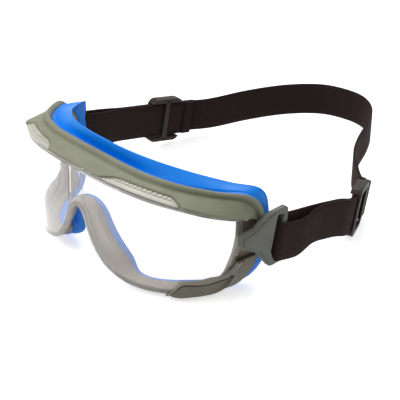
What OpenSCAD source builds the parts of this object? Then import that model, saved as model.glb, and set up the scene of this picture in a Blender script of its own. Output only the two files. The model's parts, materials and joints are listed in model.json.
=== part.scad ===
// Safety goggles with a soft face seal and an elastic head strap.
// The goggles look along -Y, +X is the wearer's left, +Z is up. They stand on
// the ground plane Z = 0, and the origin is under the middle of the whole object.

/* [Lens] */
// Half width of the curve that the lens follows, seen from above
lens_half = 86; // [80:1:90]
// Depth of that curve from its front to its widest point
lens_depth = 60; // [55:1:64]
// Squareness of that curve, where 2 is an ellipse
lens_power = 2.6; // [2.3:0.1:2.9]
// How much narrower each half of the lens gets for each unit of height down to the cheeks
lens_taper = 0.16; // [0:0.01:0.2]
// Thickness of the lens
lens_t = 2.2; // [1.8:0.1:2.4]

/* [Frame and covers] */
// Thickness of the frame's wall
frame_t = 2.2; // [1.8:0.1:2.6]
// Thickness of the brow cover
cover_t = 1.9; // [1.4:0.1:2.4]
// Thickness of the lower trims
trim_t = 1.3; // [1:0.1:2]
// Height of the raised bead along the rear edge of the brow cover
bead_h = 1.3; // [0.6:0.1:2]
// Depth of the ribbed vent windows in the brow cover
vent_d = 5.4; // [4.4:0.5:5.9]
// Distance from one vent rib to the next
rib_pitch = 1.5; // [1.2:0.1:2.5]

/* [Strap] */
// Width of the elastic webbing
strap_w = 23; // [21:0.5:24]
// Thickness of the elastic webbing
strap_t = 1.5; // [1.2:0.1:1.6]
// Length of the free end behind each slider
tail_len = 10; // [8:1:14]
// Length of each slider along the strap
slider_l = 26; // [22:1:27]
// Distance from the clip's bar to the middle of the left slider
slider_pos_left = 77; // [76:1:78]
// Distance from the clip's bar to the middle of the right slider
slider_pos_right = 68; // [60:1:70]

/* [Clips] */
// Thickness of the strap clips
clip_t = 3; // [2.6:0.1:3.4]
// Radius of the pivot pins
pin_r = 3; // [2.5:0.1:3.2]

/* [Hidden] */
$fn = 48;

left = 1;                 // the wearer's left, +X
right = -1;               // the wearer's right, -X
gap = 0.3;                // room between neighbouring shells
steps = 3;                // pieces of curve between two stations
mid_y = 65.8;             // middle of the whole object, measured in the lens's own frame
lift = 3.25;               // height of the lens's own frame over the ground

// ---------- curves ----------

// Stations across half of the goggles, from the nose to the side edge of the lens,
// as parts of the lens's half width
station = [0, 0.052, 0.1, 0.175, 0.29, 0.465, 0.675, 0.83, 0.955, 0.984];
last = len(station) - 1;
// Height of the lens's lower edge at each station: the nose arch, then the cheek
low_z = [38.5, 35.5, 26, 16.2, 8, 3, 0.8, 1, 3.2, 18];
side_top_z = 44;          // top of the lens's straight side edge
full_z = 59;              // height at which the lens has its full width

function flip(p) = [-p.x, p.y, p.z];
function unit(v) = v / norm(v);
function blend(a, b, t) = a + (b - a) * t;
// Smooth curve from b to c that heads on towards d and came from a
function spline(a, b, c, d, t) =
    0.5 * (2 * b + (c - a) * t + (2 * a - 5 * b + 4 * c - d) * t * t
        + (3 * b - a - 3 * c + d) * t * t * t);
function backwards(list) = [for (i = [len(list) - 1:-1:0]) list[i]];
function ramp(a, b, t) = let(s = min(1, max(0, (t - a) / (b - a)))) s * s * (3 - 2 * s);

// The lens at height z, seen from above: half width, y, unit tangent and outward unit normal
function lens_half_at(z) = lens_half - lens_taper * (full_z - z);
function lens_y(x, z) = -lens_depth * sqrt(max(0, 1 - pow(abs(x) / lens_half_at(z), lens_power)));
function lens_tangent(x, z) =
    let(e = 0.05) unit([2 * e, lens_y(x + e, z) - lens_y(x - e, z), 0]);
function lens_normal(x, z) = let(t = lens_tangent(x, z)) [t.y, -t.x, 0];
function on_lens(x, z, h) = [x, lens_y(x, z), z] + lens_normal(x, z) * h;

// Upper edges lie on planes that fall towards the back
function lens_top_z(y) = 42.4 - 0.375 * y;
function rim_top_z(y) = 55.2 - 0.235 * y;
function flap_top_z(y) = 57.5 - 0.4 * y;
function rim_y(x) = -42 + 46 * pow(x / 84, 4);
function flap_y(x) = -38.5 + 45 * pow(x / 76, 2.6);

// The wall behind the lens's lower edge, at x along that edge: it leans outwards beside the nose
// and inwards under the cheek, runs back, and drops a little on the way
nose_flare = 6.5;
cheek_tuck = 5.5;
nose_x = 24;              // where the lean turns from outwards to inwards
cheek_w = 50;             // width of the cheek, over which it leans inwards
flap_depth = 6;           // of the seal's lower flap behind the rim
function wall_lean(x) = x < nose_x ? nose_flare * sin(180 * x / nose_x)
    : -cheek_tuck * sin(180 * (x - nose_x) / cheek_w);
function wall_depth(x) = 10 + 3 * ramp(4, 22, x) - 6 * ramp(24, 50, x) + 7 * ramp(52, 78, x);
function wall_drop(x) = 1.5 * (1 - ramp(0, 8, x)) + 3 * ramp(14, 34, x);
function flap_tuck(x) = 0.5 * ramp(0, 8, x) + 1.8 * ramp(14, 18, x) * (1 - ramp(24, 44, x));

// Edge of the lens
function station_y(i) = -lens_depth * sqrt(1 - pow(station[i], lens_power));
lens_top = [for (i = [0:last]) let(y = station_y(i), z = i == last ? side_top_z : lens_top_z(y))
    [station[i] * lens_half_at(z), y, z]];
lens_low = [for (i = [0:last]) [station[i] * lens_half_at(low_z[i]), station_y(i), low_z[i]]];
// Rear edge of the frame
rim_top = [for (i = [0:last]) let(x = station[i] * 83.5, y = rim_y(x))
    i == last ? [82.7, 3, 42] : [x, y, rim_top_z(y)]];
rim_low = [for (i = [0:last]) let(p = lens_low[i]) i == last ? [81, 3, 20]
    : [p.x + wall_lean(p.x), p.y + wall_depth(p.x), max(-0.6, p.z - wall_drop(p.x))]];
// Tip of the face seal
flap_top = [for (i = [0:last]) let(x = station[i] * 80, y = flap_y(x))
    i == last ? [80.5, 9, 42] : [x, y, flap_top_z(y)]];
flap_low = [for (p = rim_low) [p.x - flap_tuck(p.x), p.y + flap_depth, max(-1, p.z - 2)]];

function whole(top, low) = concat(top, [for (i = [last:-1:0]) low[i]]);
lens_edge = whole(lens_top, lens_low);
rim_edge = whole(rim_top, rim_low);
flap_edge = whole(flap_top, flap_low);
half_turn = len(lens_edge) - 1;     // stations from the brow to the nose

// Smooth curve through stations: the other half of the goggles is its mirror image
function at(keys, i) = i < 0 ? flip(at(keys, -i))
    : i > len(keys) - 1 ? flip(keys[2 * (len(keys) - 1) - i]) : keys[i];
function smooth(keys, v) =
    let(i = floor(v))
    spline(at(keys, i - 1), at(keys, i), at(keys, i + 1), at(keys, i + 2), v - i);

// One section across the goggles' wall at v:
// [lens edge, rim, seal tip, along the edge, to the back, outwards from the wall, outwards in the lens]
function section(v) =
    let(b = smooth(lens_edge, v), c = smooth(rim_edge, v), e = smooth(flap_edge, v),
        along = unit(smooth(lens_edge, v + 0.02) - smooth(lens_edge, v - 0.02)),
        back = unit(c - b), out = unit(cross(along, back)),
        rim = unit(cross(along, -lens_normal(b.x, b.z))))
    [b, c, e, along, back, out, rim];

// A point on the skin: q < 0 runs onto the face of the lens, q > 0 back along the wall,
// and h is the height over the skin
function skin(s, q, h) = let(b = s[0])
    q < 0 ? let(t = lens_tangent(b.x, b.z), x = b.x + q * (s[6] * t) * t.x)
        on_lens(x, b.z + q * s[6].z, h)
    : b + s[4] * q + s[5] * h + lens_normal(b.x, b.z) * h * max(0, 1 - q / 4);
function wall_length(s) = norm(s[1] - s[0]);

// ---------- solids from rings of points ----------

// The rings of a plate, which has two faces, are closed at its ends by a strip from face to face
module sweep(rings, closed = false, plate = false) {
    n = len(rings);
    m = len(rings[0]);
    turns = closed ? n : n - 1;
    sides = [for (i = [0:turns - 1], j = [0:m - 1])
        let(a = i * m + j, b = i * m + (j + 1) % m,
            c = ((i + 1) % n) * m + (j + 1) % m, d = ((i + 1) % n) * m + j)
        each [[a, b, c], [a, c, d]]];
    strip = [for (j = [0:m / 2 - 2]) [m - 1 - j, m - 2 - j, j + 1, j]];
    ring = plate ? strip : [[for (j = [m - 1:-1:0]) j]];
    ends = closed ? [] : [each ring, for (face = ring) [for (j = backwards(face)) (n - 1) * m + j]];
    polyhedron([for (r = rings) each r], concat(sides, ends));
}

module in_place() {
    translate([0, -mid_y, lift]) children();
}

module on_side(side) {
    if (side == left) children();
    else mirror([1, 0, 0]) children();
}

// ---------- lens, frame, seal ----------

lens_rows = 8;
module lens() {
    cols = [for (i = [-last * steps:last * steps]) i / steps];
    function column(v, h) = let(a = smooth(lens_edge, v),
            b = smooth(lens_edge, v < 0 ? -half_turn - v : half_turn - v))
        [for (j = [0:lens_rows]) let(p = blend(a, b, j / lens_rows)) on_lens(p.x, p.z, h)];
    in_place()
    color([0.85, 0.9, 0.92, 0.4])
    sweep([for (v = cols) concat(column(v, -lens_t), backwards(column(v, 0)))], plate = true);
}

module goggle_frame() {
    seat = lens_t + gap;
    lip = 3;
    in_place()
    color([0.42, 0.43, 0.4])
    sweep([for (i = [-half_turn * steps:half_turn * steps - 1])
        let(s = section(i / steps), b = s[0], n = lens_normal(b.x, b.z))
        [b - n * seat + s[6] * 0.2,
         s[1] - s[5] * 0.1,
         s[1] - s[5] * frame_t,
         skin(s, -2, 0) - n * (seat + frame_t),
         skin(s, -lip, -seat - frame_t),
         skin(s, -lip, -seat)]], closed = true);
}

module face_seal() {
    lip = 3.2;
    in_place()
    color([0.0, 0.4, 0.9])
    sweep([for (i = [-half_turn * steps:half_turn * steps - 1])
        let(s = section(i / steps), c = s[1], e = s[2], r = s[4], n = s[5],
            gutter = min(4.5, norm(e - c) / 2))
        [c + r * 0.25 - n * 0.1,
         c + r * gutter + n * 0.2,
         e,
         e + [0, 1.4, 0],
         c + r * (gutter + 2.2) - n * 1.0,
         c + r * (gutter + 2.0) - n * lip,
         c + r * (gutter + 0.4) - n * lip,
         c + r * (gutter - 0.6) - n * 2.4,
         c + r * 0.25 - n * 2.3]], closed = true);
}

// ---------- covers ----------

// How far the front edge of the brow cover runs, over the skin, at station v:
// a lobe over the nose, set back at the vent windows, down over the lens at the temple,
// and then back to the rim
vent_in = 4.6;
vent_out = 6;
function brow_front(v, length) = let(a = abs(v))
    a < 5 ? blend(-0.7, vent_d, ramp(vent_in - 1.1, vent_in, a))
    : a < 8 ? blend(vent_d, -0.3, ramp(vent_out, vent_out + 0.8, a))
    : blend(-0.3, length - 5, ramp(8.6, 9.05, a));

module brow_cover() {
    top = gap + cover_t;
    in_place()
    color([0.5, 0.51, 0.45])
    sweep([for (i = [-last * steps * 2 - 1:last * steps * 2 + 1])
        let(v = i / steps / 2, s = section(v), length = wall_length(s),
            q = brow_front(v, length))
        [skin(s, q, gap),
         skin(s, q, top),
         skin(s, max(q, 0) + 0.6, top),
         skin(s, length - 4.5, top),
         skin(s, length - 3, top + bead_h),
         skin(s, length - 0.5, top + bead_h),
         skin(s, length, gap),
         skin(s, max(q + 0.6, 0), gap)]]);
}

module lower_trim(side) {
    first = 9;
    start = 6.35;
    in_place()
    on_side(side)
    color([0.4, 0.41, 0.38])
    sweep([for (i = [0:20])
        let(b = blend(start, first, i / 20), s = section(half_turn - b), length = wall_length(s),
            top = gap + 0.3 + (trim_t - 0.3) * ramp(start, start + 0.6, b),
            lip = -9 * ramp(start, 7.1, b) * (1 - ramp(8, 9, b)) - 0.3,
            tail = blend(6, length - 1, ramp(start, 8.4, b)))
        [skin(s, lip, gap),
         skin(s, lip / 2, gap),
         skin(s, 0, gap),
         skin(s, tail, gap),
         skin(s, tail, top),
         skin(s, 0.6, top),
         skin(s, lip / 2, top),
         skin(s, lip, top)]]);
}

module vent_grille(side) {
    from = vent_in + 0.05;
    to = vent_out - 0.02;
    count = floor(norm(section(to)[0] - section(from)[0]) / rib_pitch);
    in_place()
    on_side(side)
    color([0.25, 0.26, 0.25])
    sweep([for (i = [0:count - 1], k = [0, 0.48, 0.52, 0.98])
        let(s = section(blend(from, to, (i + k) / count)), h = gap + (k > 0.5 ? 0.7 : 1.6))
        [skin(s, 0.6, gap),
         skin(s, 0.6, gap + 0.5),
         skin(s, 2.5, gap + 0.6),
         skin(s, 2.7, h),
         skin(s, vent_d - gap, h),
         skin(s, vent_d - gap, gap)]]);
}

// ---------- clips and pins ----------

temple_x = 82.7;                    // outer face of the frame's temple
clip_x = temple_x + 3.6;            // inner face of the clip's plate
pivot = [-6, 33.5];                // y and z of the pivot
bar_y = 12.5;                       // middle of the clip's rear bar
bar_w = 5;
slot_w = 5;                         // width of the strap slot in front of the bar
strap_z = 29.5;                     // middle of the strap at the clip
run_fit = 0.05;                     // radial clearance of the pivot
head_r = pin_r + 0.8;
boss_r = pin_r + 1.7;
pin_root = 2.4;                     // length of the pin inside the frame's wall

// The clip seen from its side, y and z
clip_outline = [[-19.5, 34], [-20.3, 35.5], [-20.3, 40], [-19, 41.5], [-9.3, 41.8], [-3.6, 44.8],
                [3.7, 47.2], [14, 47.2], [16, 45.5], [14, 13.5], [12.5, 12], [3.5, 12], [1.5, 12.8],
                [-6.2, 23]];

// Stands a (y, z) outline up, facing +X
module clip_plane(height) {
    rotate([90, 0, 90]) linear_extrude(height) children();
}

// A rectangle with round corners, centred
module round_rect(w, h, r) {
    square([w, h - 2 * r], center = true);
    square([w - 2 * r, h], center = true);
    for (x = [-1, 1], y = [-1, 1]) translate([x * (w / 2 - r), y * (h / 2 - r)]) circle(r);
}

// Puts a cylinder on the pivot's axis, starting at x
module at_pivot(x) {
    translate([x, pivot.x, pivot.y]) rotate([0, 90, 0]) children();
}

module strap_clip(side) {
    slot_h = strap_w + 3;
    in_place()
    on_side(side)
    color([0.45, 0.47, 0.45])
    difference() {
        union() {
            translate([clip_x, 0, 0]) clip_plane(clip_t) polygon(clip_outline);
            at_pivot(temple_x + 1.4) cylinder(h = clip_x + 0.3 - temple_x - 1.4, r = boss_r);
        }
        translate(bar_at)
        rotate([strap_tilt(side), 0, 0])
        translate([-clip_t / 2 - 1, -bar_w / 2 - slot_w, -slot_h / 2])
        cube([clip_t + 2, slot_w, slot_h]);
        at_pivot(temple_x) cylinder(h = clip_x + 1 - temple_x, r = pin_r + run_fit);
        at_pivot(clip_x + 0.8) cylinder(h = 1.3, r = head_r + 0.1);
    }
}

module clip_pin(side) {
    in_place()
    on_side(side)
    color([0.35, 0.35, 0.34])
    union() {
        at_pivot(temple_x - pin_root) cylinder(h = pin_root + clip_x + 1 - temple_x, r = pin_r);
        at_pivot(temple_x) cylinder(h = 1.1, r = boss_r);
        at_pivot(clip_x + 0.9) cylinder(h = 1, r = head_r);
    }
}

// ---------- strap ----------

// The strap falls towards the back, and leaves each clip slightly outwards or inwards
function strap_tilt(side) = side == left ? -12.4 : -11.2;
function strap_toe(side) = side == left ? -1.8 : 2.5;
layer = strap_t / 2 + 0.15;         // middle of a layer from the middle of the pair
fold_r = clip_t / 2 + 0.5 + strap_t / 2;
bend_from = 50;                     // where the strap starts to bend inwards
bend_r = 28;
function bend_angle(side) = side == left ? 29 : 2;
function slider_pos(side) = side == left ? slider_pos_left : slider_pos_right;
// Free ends lie outside on the left and inside on the right
function tail_side(side) = side == left ? 1 : -1;

// Middle line of the strap from the clip's bar, drawn along +Y: [x, y, heading]
function line_at(side, s) =
    let(turn = bend_angle(side),
        degrees = 180 / (PI * bend_r),      // of turning for each unit of length
        a = min(turn, max(0, (s - bend_from) * degrees)),
        rest = max(0, s - bend_from - turn / degrees))
    [-bend_r * (1 - cos(a)) - rest * sin(turn),
     min(s, bend_from) + bend_r * sin(a) + rest * cos(turn),
     a];

// The strap's own plane, with the middle of the clip's bar as its origin
bar_at = [clip_x + clip_t / 2, bar_y, strap_z];
module along_strap(side) {
    in_place()
    on_side(side)
    translate(bar_at)
    rotate([strap_tilt(side), 0, strap_toe(side)])
    children();
}
function turned(side, p) =
    let(toe = strap_toe(side),
        tilt = strap_tilt(side),
        y = p.y * cos(tilt) - p.z * sin(tilt),
        z = p.y * sin(tilt) + p.z * cos(tilt))
    [p.x * cos(toe) - y * sin(toe), p.x * sin(toe) + y * cos(toe), z];

// Middle line of one layer from the fold to its end, where part is 1 outside and -1 inside
function apart(s) = blend(fold_r, layer, ramp(12, 34, s));
function layer_point(side, part, s) = let(p = line_at(side, s), d = part * apart(s))
    [p.x + d * cos(p[2]), p.y + d * sin(p[2])];
function layer_line(side, part, to) =
    [for (s = [0:3:bend_from + 15]) layer_point(side, part, s), layer_point(side, part, to)];
// Middle line round the clip's bar
fold_y = -bar_w / 2 + 1;
fold_line = [for (a = [-75:15:75]) [fold_r * sin(a), fold_y - fold_r * cos(a)]];

// A webbing's outline from its middle line
function line_normal(line, i) =
    let(a = line[max(0, i - 1)], b = line[min(len(line) - 1, i + 1)], t = (b - a) / norm(b - a))
    [-t.y, t.x];
function webbing(line, t) = concat(
    [for (i = [0:len(line) - 1]) line[i] + line_normal(line, i) * t / 2],
    [for (i = [len(line) - 1:-1:0]) line[i] - line_normal(line, i) * t / 2]);

// Puts a shape at s on the strap, on the outer or inner face of the doubled strap
module at_strap(side, s) {
    p = line_at(side, s);
    along_strap(side)
    translate([p.x, p.y, 0])
    rotate(p[2])
    children();
}

function tail_end(side) = slider_pos(side) + slider_l / 2 + tail_len;
function seam(side) = tail_end(side) + 1;      // where the band takes over
hem_l = 7;

module strap_loop(side) {
    tail = tail_side(side);
    inner_end = tail > 0 ? seam(side) : tail_end(side);
    outer_end = tail > 0 ? tail_end(side) : seam(side);
    line = concat(backwards(layer_line(side, -1, inner_end)), fold_line, layer_line(side, 1, outer_end));
    color([0.2, 0.16, 0.15]) {
        along_strap(side)
        translate([0, 0, -strap_w / 2]) linear_extrude(strap_w) polygon(webbing(line, strap_t));
        at_strap(side, tail_end(side) - 0.3 - hem_l / 2)
        translate([tail * (layer + strap_t * 0.95), 0, 0])
        cube([strap_t, hem_l, strap_w - 0.4], center = true);
    }
}

module hem_stitch(side) {
    tail = tail_side(side);
    color([0.1, 0.09, 0.09])
    at_strap(side, tail_end(side) - hem_l + 1.5)
    for (z = [-strap_w / 2 + 1.8:2.4:strap_w / 2 - 1])
        translate([tail * (layer + strap_t * 1.45 + 0.16), 0, z]) cube([0.3, 0.5, 1.5], center = true);
}

module strap_slider(side) {
    bar_t = 1.5;
    end_bar = 3.5;
    middle_bar = 4;
    rail = 3.2;
    corner_r = 5;
    inner = strap_w + 0.8;
    outer = inner + 2 * rail;
    reach = layer + strap_t / 2 + 0.3;   // from the middle line to a bar's near face
    color([0.2, 0.19, 0.18])
    at_strap(side, slider_pos(side))
    intersection() {
        translate([-reach - bar_t, 0, 0]) clip_plane(2 * (reach + bar_t))
        round_rect(slider_l, outer, corner_r);
        union() {
            for (z = [-1, 1]) translate([0, 0, z * (inner + rail) / 2])
                cube([2 * (reach + bar_t), slider_l, rail], center = true);
            for (y = [-1, 1]) translate([reach + bar_t / 2, y * (slider_l - end_bar) / 2, 0])
                cube([bar_t, end_bar, outer], center = true);
            translate([-reach - bar_t / 2, 0, 0]) cube([bar_t, middle_bar, outer], center = true);
        }
    }
}

// The single band round the back of the head, from the left seam to the right one
module strap_band() {
    // The end of a loop's longer layer, part of the way out from its middle line and up
    function end_point(side, out, up) =
        let(q = layer_point(side, -tail_side(side), seam(side)),
            heading = line_at(side, seam(side))[2],
            n = [cos(heading), sin(heading)] * out * strap_t / 2)
        bar_at + turned(side, [q.x + n.x, q.y + n.y, up * strap_w / 2]);
    function end_ring(side) = [for (p = [[-1, -1], [1, -1], [1, 1], [-1, 1]])
        end_point(side, p.x, p.y)];
    a = end_point(left, 0, 0);
    b = flip(end_point(right, 0, 0));
    route = [[a.x, a.y], [59, 113], [46, 125], [35, 143], [25.5, 163], [14, 181], [-1, 191.5],
             [-18, 192.5], [-36, 186], [-52, 168], [-64.5, 142], [-74, 117], [b.x, b.y]];
    n = len(route) - 1;
    fine = 4;                           // pieces of curve between two points of the route
    levelling = 2.5;                    // part of the route along which the band comes level
    rest_z = strap_w / 2 + 2;
    function spot(i) = i < 0 ? 2 * route[0] - route[1]
        : i > n ? 2 * route[n] - route[n - 1] : route[i];
    function place(v) = let(i = min(floor(v), n - 1))
        spline(spot(i - 1), spot(i), spot(i + 1), spot(i + 2), v - i);
    in_place()
    color([0.2, 0.16, 0.15])
    sweep([end_ring(left), for (i = [1:n * fine - 1])
        let(v = i / fine,
            p = place(v),
            t = unit(place(min(n, v + 0.02)) - place(max(0, v - 0.02))),
            near = 1 - ramp(0, levelling, v),
            far = ramp(n - levelling, n, v),
            lean = sin(strap_tilt(left)) * near - sin(strap_tilt(right)) * far,
            up = unit([-t.x * lean, -t.y * lean, 1]) * strap_w / 2,
            k = unit(cross(up, [t.x, t.y, 0])) * strap_t / 2,
            c = [p.x, p.y, rest_z + (a.z - rest_z) * near + (b.z - rest_z) * far])
        [c + k - up, c - k - up, c - k + up, c + k + up],
        [for (p = end_ring(right)) flip(p)]]);
}

lens();
goggle_frame();
face_seal();
brow_cover();
vent_grille(left);  // vent_grille_left
vent_grille(right);  // vent_grille_right
lower_trim(left);  // lower_trim_left
lower_trim(right);  // lower_trim_right
clip_pin(left);  // clip_pin_left
clip_pin(right);  // clip_pin_right
strap_clip(left);  // strap_clip_left
strap_clip(right);  // strap_clip_right
strap_loop(left);  // strap_loop_left
strap_loop(right);  // strap_loop_right
hem_stitch(left);  // hem_stitch_left
hem_stitch(right);  // hem_stitch_right
strap_slider(left);  // strap_slider_left
strap_slider(right);  // strap_slider_right
strap_band();
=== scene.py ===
"""Looks of the safety goggles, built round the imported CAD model.

The shells repeat the design's own curves at a finer pitch. They are worked out in the lens's
frame, in millimetres, and moved to the row frame, in metres, when a mesh is made.
"""

import json
import math

import bmesh
import bpy
import numpy as np
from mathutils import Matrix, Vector


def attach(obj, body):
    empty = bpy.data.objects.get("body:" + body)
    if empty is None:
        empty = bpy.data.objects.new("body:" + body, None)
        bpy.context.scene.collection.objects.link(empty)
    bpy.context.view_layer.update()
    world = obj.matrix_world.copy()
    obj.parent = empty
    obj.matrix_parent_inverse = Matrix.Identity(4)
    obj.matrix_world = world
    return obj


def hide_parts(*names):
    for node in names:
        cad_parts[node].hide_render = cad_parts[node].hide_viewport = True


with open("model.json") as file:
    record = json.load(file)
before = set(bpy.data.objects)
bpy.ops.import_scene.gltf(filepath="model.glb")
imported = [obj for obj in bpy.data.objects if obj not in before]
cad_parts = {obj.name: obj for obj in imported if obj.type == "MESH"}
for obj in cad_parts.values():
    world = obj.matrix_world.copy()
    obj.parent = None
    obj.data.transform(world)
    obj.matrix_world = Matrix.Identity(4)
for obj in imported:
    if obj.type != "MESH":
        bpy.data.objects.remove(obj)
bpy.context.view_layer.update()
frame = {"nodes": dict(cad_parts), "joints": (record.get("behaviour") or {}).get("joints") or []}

MM = 0.001
LEFT, RIGHT = 1, -1                     # the wearer's left is +X
SIDE_NAME = {LEFT: "left", RIGHT: "right"}
PIVOT = np.array([0, -6, 33.5])         # the clips' pivot in the lens's frame

# Where the lens's frame stands in the row frame: the pivot is known in both
swing = next(j for j in frame["joints"] if j["name"] == "strap_swing")
ORIGIN = np.array([0, swing["pos_m"][1], swing["pos_m"][2]]) / MM - PIVOT


# ---------- the design's curves ----------

LENS_HALF = 86                          # half the lens's width at the height FULL_Z
LENS_DEPTH = 60
LENS_POWER = 2.6                        # how square the lens's curve is, seen from above
LENS_TAPER = 0.16                       # half width lost per millimetre further down
LENS_T = 2.2
FULL_Z = 59
FRAME_T = 2.2
COVER_T = 1.9
TRIM_T = 1.3
GAP = 0.3

# Stations run from the middle of the brow to the temple, as shares of the lens's half width
STATION = [0, 0.052, 0.1, 0.175, 0.29, 0.465, 0.675, 0.83, 0.955, 0.984]
LAST = len(STATION) - 1
LOW_Z = [38.5, 35.5, 26, 16.2, 8, 3, 0.8, 1, 3.2, 18]   # the lens's lower edge at each station
LENS_TOP_Z = 42.4                       # its upper edge, which climbs towards the brow
SIDE_TOP_Z = 44

# Upper edges of the frame's rim and of the seal's flap, seen from above
RIM_HALF = 83.5
RIM_BACK = -42
FLAP_HALF = 80
FLAP_BACK = -38.5

# The last station of each, at the temple
RIM_TEMPLE_TOP = (82.7, 3, 42)
RIM_TEMPLE_LOW = (81, 3, 20)
FLAP_TEMPLE_TOP = (80.5, 9, 42)

# The wall behind the lens's lower edge, beside the nose and under the cheek
NOSE_FLARE = 6.5
CHEEK_TUCK = 5.5
NOSE_X = 24
CHEEK_W = 50
FLAP_DEPTH = 6
RIM_FLOOR = -0.6
FLAP_FLOOR = -1


def vec(*values):
    return np.array(values, float)


def unit(v):
    return v / np.linalg.norm(v)


def mix(a, b, t):
    return a + (b - a) * t


def ramp(a, b, t):
    """Soft step from 0 at a to 1 at b."""
    s = min(1, max(0, (t - a) / (b - a)))
    return s * s * (3 - 2 * s)


def spline(a, b, c, d, t):
    """Smooth curve from b to c that came from a and heads on towards d."""
    return 0.5 * (2 * b + (c - a) * t + (2 * a - 5 * b + 4 * c - d) * t * t
                  + (3 * b - a - 3 * c + d) * t ** 3)


def lens_half_at(z):
    """Half the lens's width at the height z."""
    return LENS_HALF - LENS_TAPER * (FULL_Z - z)


def lens_y(x, z):
    return -LENS_DEPTH * math.sqrt(max(0, 1 - (abs(x) / lens_half_at(z)) ** LENS_POWER))


def lens_tangent(x, z):
    e = 0.05
    return unit(vec(2 * e, lens_y(x + e, z) - lens_y(x - e, z), 0))


def lens_normal(x, z):
    t = lens_tangent(x, z)
    return vec(t[1], -t[0], 0)


def on_lens(x, z, h):
    """A point at the height h over the lens's outer face."""
    return vec(x, lens_y(x, z), z) + lens_normal(x, z) * h


def wall_lean(x):
    """The wall behind the lens's lower edge leans outwards beside the nose, inwards at the cheek."""
    if x < NOSE_X:
        return NOSE_FLARE * math.sin(math.pi * x / NOSE_X)
    return -CHEEK_TUCK * math.sin(math.pi * (x - NOSE_X) / CHEEK_W)


def wall_depth(x):
    """How far the rim lies behind the lens's lower edge: less under the eye, more at the cheek."""
    return 10 + 3 * ramp(4, 22, x) - 6 * ramp(24, 50, x) + 7 * ramp(52, 78, x)


def wall_drop(x):
    """How far the rim lies below the lens's lower edge."""
    return 1.5 * (1 - ramp(0, 8, x)) + 3 * ramp(14, 34, x)


def flap_tuck(x):
    """How far inside the rim the seal's lower tip lies."""
    return 0.5 * ramp(0, 8, x) + 1.8 * ramp(14, 18, x) * (1 - ramp(24, 44, x))


def upper_keys():
    """Upper edges of the lens, the frame's rim and the seal's flap, from the brow to the temple."""
    lens, rim, flap = [], [], []
    for part in STATION[:LAST]:
        y = -LENS_DEPTH * math.sqrt(1 - part ** LENS_POWER)
        z = LENS_TOP_Z - 0.375 * y
        lens.append(vec(part * lens_half_at(z), y, z))
        x = part * RIM_HALF
        y = RIM_BACK + 46 * (x / 84) ** 4
        rim.append(vec(x, y, 55.2 - 0.235 * y))
        x = part * FLAP_HALF
        y = FLAP_BACK + 45 * (x / 76) ** 2.6
        flap.append(vec(x, y, 57.5 - 0.4 * y))
    y = -LENS_DEPTH * math.sqrt(1 - STATION[LAST] ** LENS_POWER)
    lens.append(vec(STATION[LAST] * lens_half_at(SIDE_TOP_Z), y, SIDE_TOP_Z))
    rim.append(vec(*RIM_TEMPLE_TOP))
    flap.append(vec(*FLAP_TEMPLE_TOP))
    return lens, rim, flap


def lower_keys():
    """The same three edges below, from the nose to the temple."""
    lens = []
    for part, z in zip(STATION, LOW_Z):
        y = -LENS_DEPTH * math.sqrt(1 - part ** LENS_POWER)
        lens.append(vec(part * lens_half_at(z), y, z))
    rim = []
    for x, y, z in lens[:LAST]:
        rim.append(vec(x + wall_lean(x), y + wall_depth(x), max(RIM_FLOOR, z - wall_drop(x))))
    rim.append(vec(*RIM_TEMPLE_LOW))
    flap = [vec(x - flap_tuck(x), y + FLAP_DEPTH, max(FLAP_FLOOR, z - 2)) for x, y, z in rim]
    return lens, rim, flap


# Each edge is one row of points, from the brow round the temple to the nose
LENS_EDGE, RIM_EDGE, FLAP_EDGE = [up + low[::-1] for up, low in zip(upper_keys(), lower_keys())]
HALF_TURN = len(LENS_EDGE) - 1


def key(keys, i):
    """A station's point; past the brow or the nose it is a mirror image."""
    if i < 0:
        return key(keys, -i) * (-1, 1, 1)
    if i > HALF_TURN:
        return keys[2 * HALF_TURN - i] * (-1, 1, 1)
    return keys[i]


def smooth(keys, v):
    """A point on the smooth curve through the keys, at station v."""
    i = math.floor(v)
    return spline(key(keys, i - 1), key(keys, i), key(keys, i + 1), key(keys, i + 2), v - i)


class Section:
    """A cut across the goggles' wall at v, from the lens's edge back to the seal's tip."""

    def __init__(self, v):
        self.edge = smooth(LENS_EDGE, v)
        self.rim = smooth(RIM_EDGE, v)
        self.tip = smooth(FLAP_EDGE, v)
        self.along = unit(smooth(LENS_EDGE, v + 0.02) - smooth(LENS_EDGE, v - 0.02))
        self.back = unit(self.rim - self.edge)
        self.out = unit(np.cross(self.along, self.back))
        self.face = lens_normal(self.edge[0], self.edge[2])
        self.outwards = unit(np.cross(self.along, -self.face))
        self.length = np.linalg.norm(self.rim - self.edge)

    def on_face(self, q, h):
        """On the lens's face, -q in from its edge and h high."""
        b = self.edge
        t = lens_tangent(b[0], b[2])
        return on_lens(b[0] + q * (self.outwards @ t) * t[0], b[2] + q * self.outwards[2], h)

    def skin(self, q, h):
        """q < 0 runs onto the lens's face, q > 0 back along the wall; h is the height over both."""
        if q < 0:
            return self.on_face(q, h)
        return self.edge + self.back * q + self.out * h + self.face * h * max(0, 1 - q / 4)


# ---------- meshes ----------

def to_row(points):
    """From the lens's frame, in millimetres, to the row frame, in metres."""
    return [tuple((np.asarray(p) + ORIGIN) * MM) for p in points]


def new_piece(name, points, faces, body, slot, *materials):
    """A mesh object that rides on a body and wears the given materials; the slot argument is not
    used.
    """
    mesh = bpy.data.meshes.new(name)
    mesh.from_pydata(to_row(points), [], faces)
    mesh.validate()
    mesh.update()
    for material in materials:
        mesh.materials.append(material)
    piece = bpy.data.objects.new(name, mesh)
    bpy.context.scene.collection.objects.link(piece)
    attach(piece, body)
    return piece


def soften(piece, angle=35):
    """Smooth shading with creases where the surface turns by more than the angle."""
    piece.data.shade_smooth()
    piece.data.set_sharp_from_angle(angle=math.radians(angle))


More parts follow.
